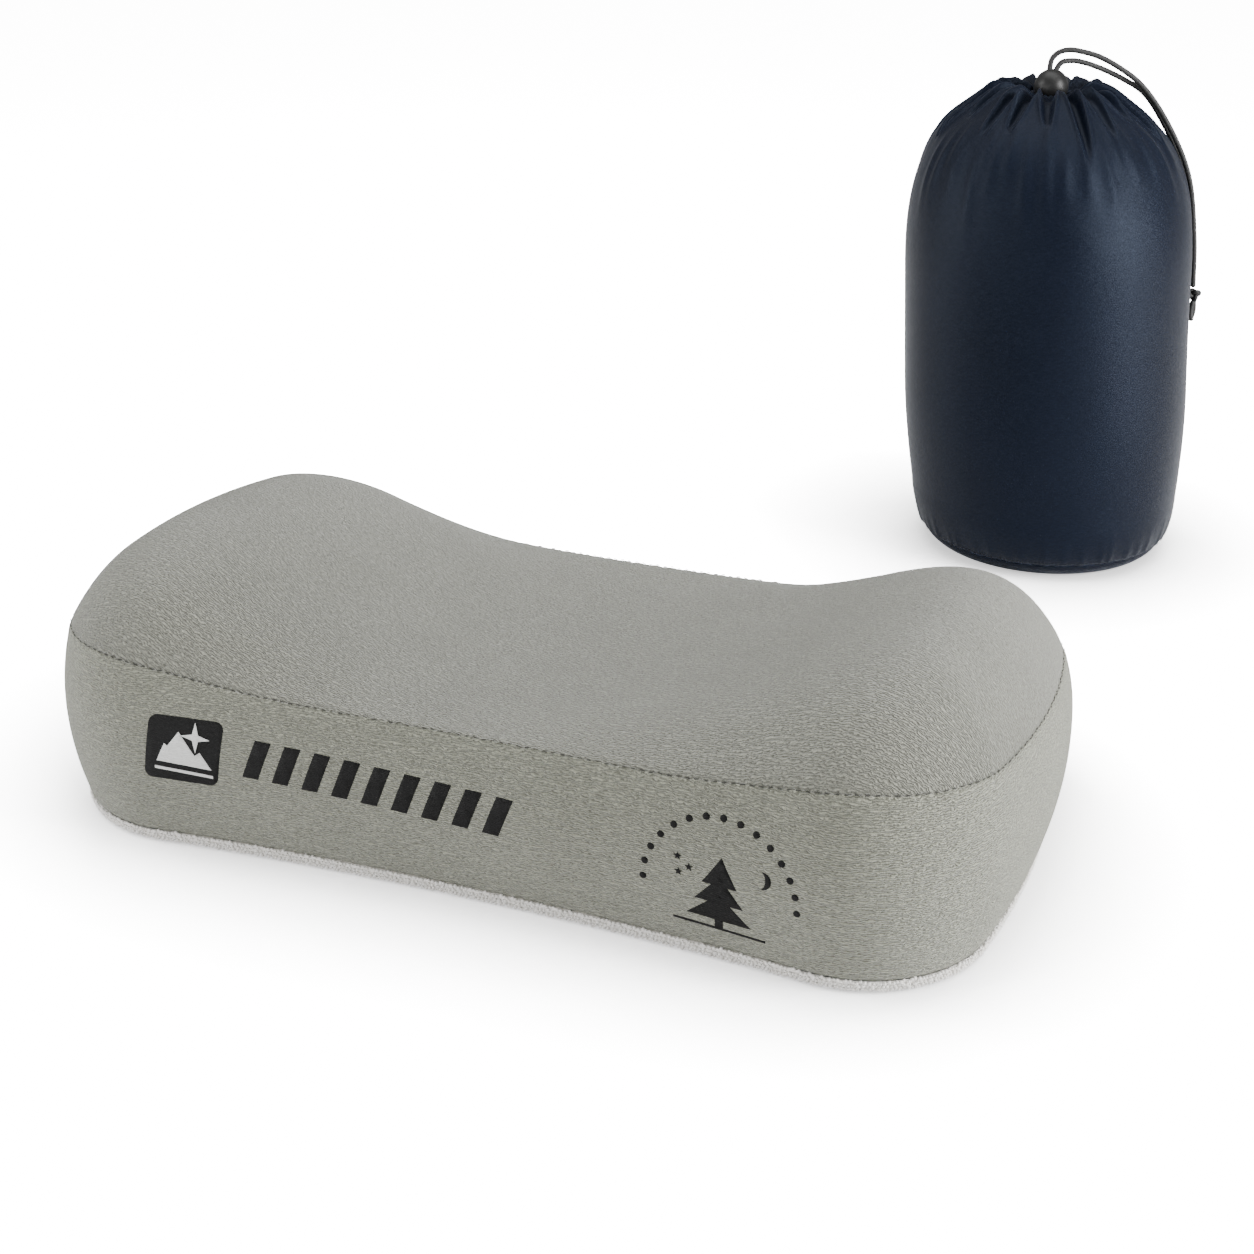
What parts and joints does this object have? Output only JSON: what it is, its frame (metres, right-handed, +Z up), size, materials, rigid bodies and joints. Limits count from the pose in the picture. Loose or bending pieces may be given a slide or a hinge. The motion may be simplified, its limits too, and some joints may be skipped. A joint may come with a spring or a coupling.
{
  "type": "camp pillow with stuff sack",
  "caption": "Contoured self-inflating camp pillow with raised ends and a dipped middle, zip and air valve at the back, and its full drawstring stuff sack standing behind it.",
  "frame": {"origin": "on the ground under the centre of the pillow's outline", "axes": "+Z up, +X along the pillow's length, +Y from its front wall to its back wall, where the zip and valve are; the sack stands at +Y"},
  "size_m": [0.45, 0.5978, 0.2913],
  "materials": {
    "cover": "matte",
    "base_fleece": "matte",
    "bladder_film": "satin",
    "foam": "matte",
    "zip_tape": "matte",
    "zip_metal": "satin",
    "valve_rubber": "satin",
    "valve_trim": "matte",
    "silicone": "satin",
    "sack_nylon": "satin",
    "cord": "matte",
    "lock_plastic": "satin",
    "spring_steel": "satin"
  },
  "bodies": {
    "pillow": {"cover_top_panel": "cover", "cover_side_band": "cover", "cover_base_panel": "base_fleece", "air_bladder": "bladder_film", "foam_core": "foam", "zip_tape_upper": "zip_tape", "zip_tape_lower": "zip_tape", "zip_coil": "zip_tape", "zip_stop_open": "zip_metal", "zip_stop_closed": "zip_metal", "valve_body": "valve_rubber", "valve_eyelet": "valve_trim", "valve_strap": "valve_rubber"},
    "zip_slider": {"zip_slider": "zip_metal"},
    "zip_pull": {"zip_pull": "zip_metal"},
    "valve_plug": {"valve_plug": "valve_rubber", "valve_diaphragm": "silicone"},
    "valve_cap": {"valve_cap": "valve_rubber"},
    "sack": {"sack_body": "sack_nylon", "sack_base": "sack_nylon", "sack_hem": "sack_nylon", "packed_roll": "cover", "drawcord_ring": "cord", "drawcord_tail_long": "cord", "drawcord_tail_short": "cord", "drawcord_knot": "cord", "drawcord_end_front": "cord", "drawcord_end_back": "cord", "cord_lock_body": "lock_plastic", "cord_lock_spring": "spring_steel"},
    "lock_button": {"cord_lock_button": "lock_plastic"}
  },
  "joints": [
    {"name": "zip_run", "type": "hinge", "parent": "pillow", "child": "zip_slider", "pos_m": [0, 1.7943, 0.0375], "axis": [0, 0, -1], "range_deg": [0, 6.1]},
    {"name": "zip_pull_swing", "type": "hinge", "parent": "zip_slider", "child": "zip_pull", "pos_m": [0.12715, 0.12764, 0.0375], "axis": [0, 0, -1], "range_deg": [0, 170]},
    {"name": "valve_plug_hinge", "type": "hinge", "parent": "pillow", "child": "valve_plug", "pos_m": [-0.1242, 0.12811, 0.0375], "axis": [0, 0, 1], "range_deg": [0, 150]},
    {"name": "valve_cap_hinge", "type": "hinge", "parent": "valve_plug", "child": "valve_cap", "pos_m": [-0.09964, 0.1283, 0.0375], "axis": [0, 0, -1], "range_deg": [0, 150]},
    {"name": "sack_lift", "type": "slide", "parent": "pillow", "child": "sack", "axis": [0, 0, 1], "range_m": [0, 0.3]},
    {"name": "lock_button_press", "type": "slide", "parent": "sack", "child": "lock_button", "axis": [0, -1, 0], "range_m": [0, 0.002], "stiffness_N_per_m": 800, "springref_m": -0.003, "deforming": ["cord_lock_spring"]}
  ]
}
